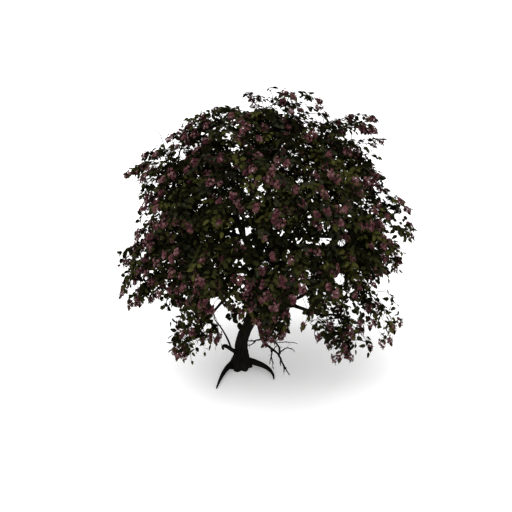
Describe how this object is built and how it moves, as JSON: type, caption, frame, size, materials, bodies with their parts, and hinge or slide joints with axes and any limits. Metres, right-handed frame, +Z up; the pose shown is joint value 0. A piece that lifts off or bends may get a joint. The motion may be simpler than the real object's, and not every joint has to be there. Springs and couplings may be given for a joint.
{
  "type": "orchid tree",
  "caption": "Flowering orchid tree with a short leaning trunk, a low arching crown of weeping twigs, pointed leaves and dusky pink blossom.",
  "frame": {"origin": "middle of the trunk's flat cut at ground level", "axes": "+Z up the tree from the ground; +X to the right and +Y away, seen from the front, where the trunk leans to the right"},
  "size_m": [6.5408, 6.0341, 6.5828],
  "materials": {
    "bark": "rough dark grey-brown bark",
    "dead_wood": "rough dry twigs with no leaves",
    "foliage": "matt dark green leaves with dusky pink blossom"
  },
  "bodies": {
    "root": {"back_bough": "bark", "back_left_bough": "bark", "back_left_mass": "foliage", "back_low_left_mass": "foliage", "back_low_middle_mass": "foliage", "back_low_right_mass": "foliage", "back_mid_left_bough": "bark", "back_mid_right_bough": "bark", "back_right_bough": "bark", "back_right_mass": "foliage", "back_upper_bough": "bark", "back_upper_mass": "foliage", "bare_twigs": "dead_wood", "broken_stub": "bark", "crown_top": "foliage", "dead_limb": "bark", "front_hanging_bough": "bark", "front_hanging_mass": "foliage", "front_left_bough": "bark", "front_low_left_mass": "foliage", "front_low_right_mass": "foliage", "front_right_bough": "bark", "front_side_bough": "bark", "front_side_mass": "foliage", "front_upper_left_bough": "bark", "front_upper_left_mass": "foliage", "front_upper_right_bough": "bark", "front_upper_right_mass": "foliage", "leader_bough": "bark", "left_bough": "bark", "low_left_bough": "bark", "low_left_mass": "foliage", "low_right_bough": "bark", "low_shoot": "bark", "low_shoot_mass": "foliage", "mid_left_bough": "bark", "mid_left_mass": "foliage", "outer_left_bough": "bark", "outer_left_mass": "foliage", "outer_right_mass": "foliage", "right_bough": "bark", "trunk": "bark", "upper_left_bough": "bark", "upper_left_mass": "foliage", "upper_right_bough": "bark", "upper_right_mass": "foliage", "weeping_left_mass": "foliage", "weeping_right_mass": "foliage"}
  },
  "joints": []
}
